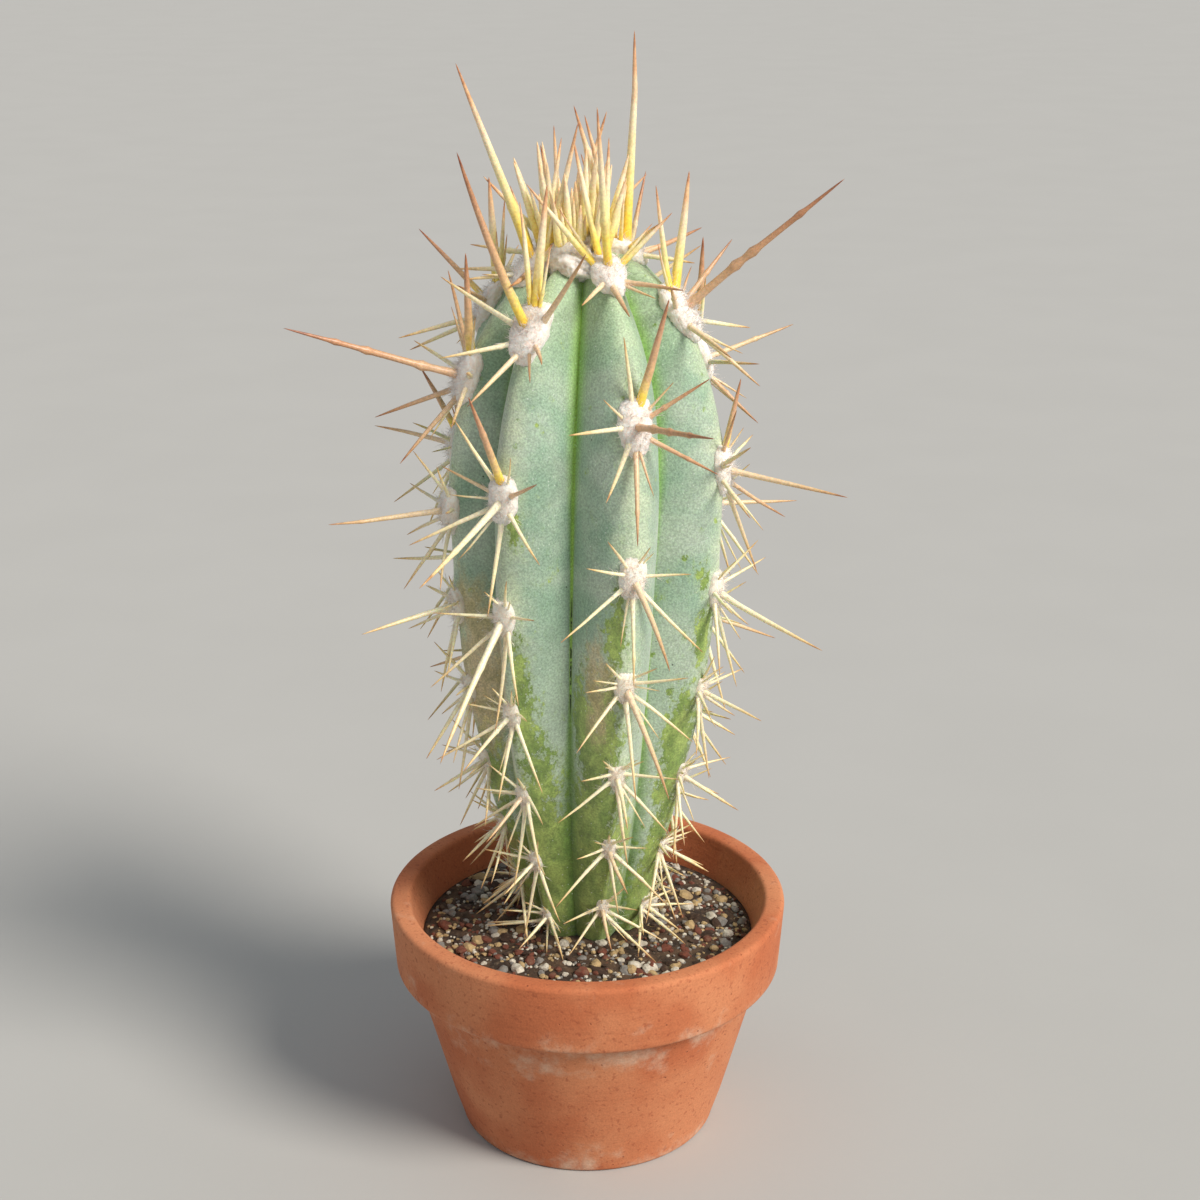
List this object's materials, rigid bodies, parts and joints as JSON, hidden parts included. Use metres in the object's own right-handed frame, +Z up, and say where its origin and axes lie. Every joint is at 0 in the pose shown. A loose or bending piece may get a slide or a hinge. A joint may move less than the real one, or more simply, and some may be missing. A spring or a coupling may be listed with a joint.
{
  "type": "potted toothpick cactus",
  "caption": "Young columnar cactus with deep ribs, woolly areoles and long stout spines, standing in gritty soil in a low clay pot.",
  "frame": {"origin": "centre of the bounding box in X and Y, on the surface that the pot stands on", "axes": "+Z up along the stem, -Y towards the plant's front, +X to the right seen from the front"},
  "size_m": [0.118, 0.1166, 0.2569],
  "materials": {
    "clay": "unglazed matte terracotta",
    "soil": "rough gritty potting mix",
    "skin": "waxy blue-green skin with white wool and straw-coloured spines"
  },
  "bodies": {
    "root": {"pot": "clay", "soil": "soil", "cactus": "skin"}
  },
  "joints": []
}
